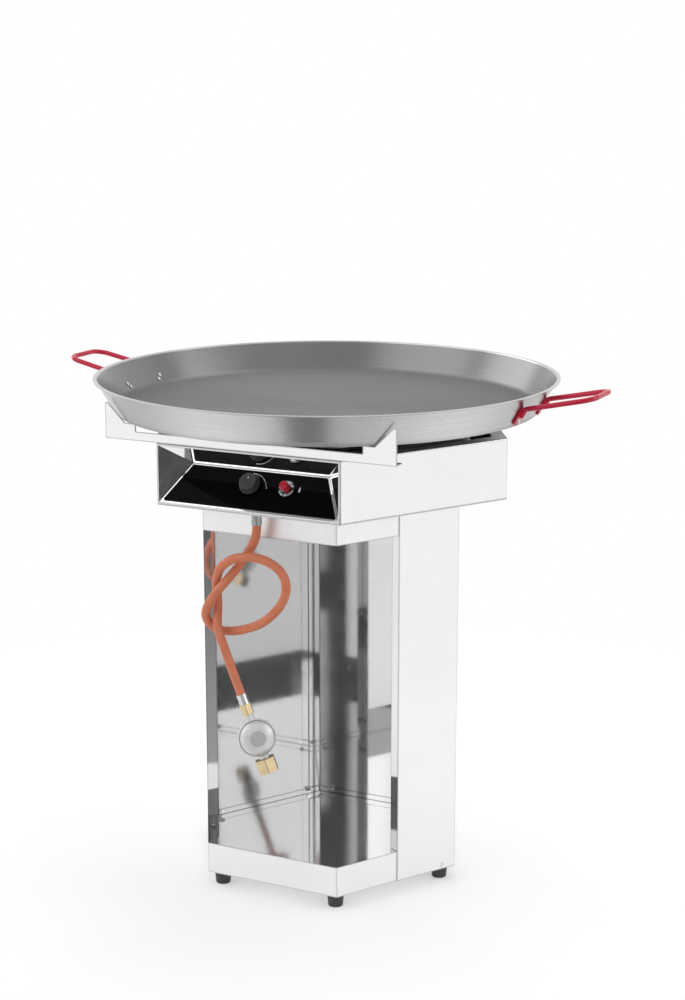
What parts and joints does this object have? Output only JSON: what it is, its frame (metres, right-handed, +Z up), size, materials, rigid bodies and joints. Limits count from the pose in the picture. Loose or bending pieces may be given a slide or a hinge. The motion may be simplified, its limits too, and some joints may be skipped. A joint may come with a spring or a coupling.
{
  "type": "gas paella cooker",
  "caption": "Gas paella cooker: hexagonal steel stand, lift-off burner unit with ring burners, knob, igniter and knotted hose with regulator, and a wide pan with red handles.",
  "frame": {"origin": "on the floor under the middle of the stand", "axes": "+Z up, control panel facing -Y, pan handles on the X axis"},
  "size_m": [1.0026, 0.8, 0.8882],
  "materials": {
    "polished_steel": "bright polished stainless sheet",
    "plated_fasteners": "plated",
    "foot_rubber": "matt black",
    "panel_black": "gloss black",
    "tap_metal": "die cast",
    "knob_plastic": "satin dark grey",
    "igniter_black": "matt black",
    "chrome_trim": "polished",
    "igniter_red": "gloss red",
    "brass": "turned",
    "tube_steel": "drawn tube, polished",
    "copper_line": "drawn",
    "ceramic_white": "glazed white ceramic",
    "lead_sleeve": "matt black",
    "ferrule_steel": "crimped, plated",
    "hose_orange": "smooth orange",
    "regulator_cast": "cast, light grey",
    "seal_rubber": "matt black",
    "pan_steel": "brushed",
    "handle_red": "gloss red"
  },
  "bodies": {
    "stand": {"rear_shell": "polished_steel", "top_rail": "polished_steel", "bottom_tray": "polished_steel", "tray_rivets": "plated_fasteners", "seam_screws": "plated_fasteners", "feet": "foot_rubber", "foot_screws": "plated_fasteners"},
    "burner_unit": {"housing_wall": "polished_steel", "housing_floor": "polished_steel", "floor_rivets": "plated_fasteners", "control_fascia": "polished_steel", "fascia_overlay": "panel_black", "gas_tap": "tap_metal", "tap_nut": "plated_fasteners", "igniter_body": "igniter_black", "igniter_bezel": "chrome_trim", "inlet_nipple": "brass", "injector": "brass", "mixing_tube": "tube_steel", "tube_saddle": "tube_steel", "riser_manifold": "tube_steel", "ring_legs": "tube_steel", "outer_ring": "tube_steel", "inner_ring": "tube_steel", "pilot_bracket": "tube_steel", "thermocouple": "brass", "spark_electrode": "ceramic_white", "electrode_wire": "tube_steel", "thermocouple_line": "copper_line", "ignition_lead": "lead_sleeve", "support_front": "polished_steel", "support_rear": "polished_steel", "support_screws": "plated_fasteners", "hose_ferrule_upper": "ferrule_steel", "hose": "hose_orange", "hose_ferrule_lower": "ferrule_steel", "hose_nut": "brass", "regulator_body": "regulator_cast", "regulator_cover": "regulator_cast", "inlet_stem": "tap_metal", "inlet_seal": "seal_rubber"},
    "tap_push": {"valve_push_pin": "tap_metal"},
    "knob": {"tap_spindle": "tap_metal", "control_knob": "knob_plastic"},
    "igniter_button": {"igniter_button": "igniter_red"},
    "bottle_nut": {"bottle_nut": "brass"},
    "pan": {"pan": "pan_steel", "handle_left": "handle_red", "handle_right": "handle_red", "handle_rivets": "plated_fasteners"}
  },
  "joints": [
    {"name": "burner_lift", "type": "slide", "parent": "stand", "child": "burner_unit", "axis": [0, 0, 1], "range_m": [0, 0.155]},
    {"name": "pan_lift", "type": "slide", "parent": "burner_unit", "child": "pan", "axis": [0, 0, 1], "range_m": [0, 0.222]},
    {"name": "knob_push", "type": "slide", "parent": "burner_unit", "child": "tap_push", "axis": [0, 0.7809, -0.6247], "range_m": [0, 0.003], "stiffness_N_per_m": 800, "springref_m": -0.002},
    {"name": "knob_turn", "type": "hinge", "parent": "tap_push", "child": "knob", "pos_m": [-0.007, -0.26107, 0.73671], "axis": [0, -0.7809, 0.6247], "range_deg": [-120, 0]},
    {"name": "igniter_press", "type": "slide", "parent": "burner_unit", "child": "igniter_button", "axis": [0, 0.7809, -0.6247], "range_m": [0, 0.005], "stiffness_N_per_m": 900, "springref_m": -0.002},
    {"name": "bottle_nut_spin", "type": "hinge", "parent": "burner_unit", "child": "bottle_nut", "pos_m": [0.00789, -0.25208, 0.26877], "axis": [0.3531, 0.0415, -0.9347], "continuous": true}
  ]
}
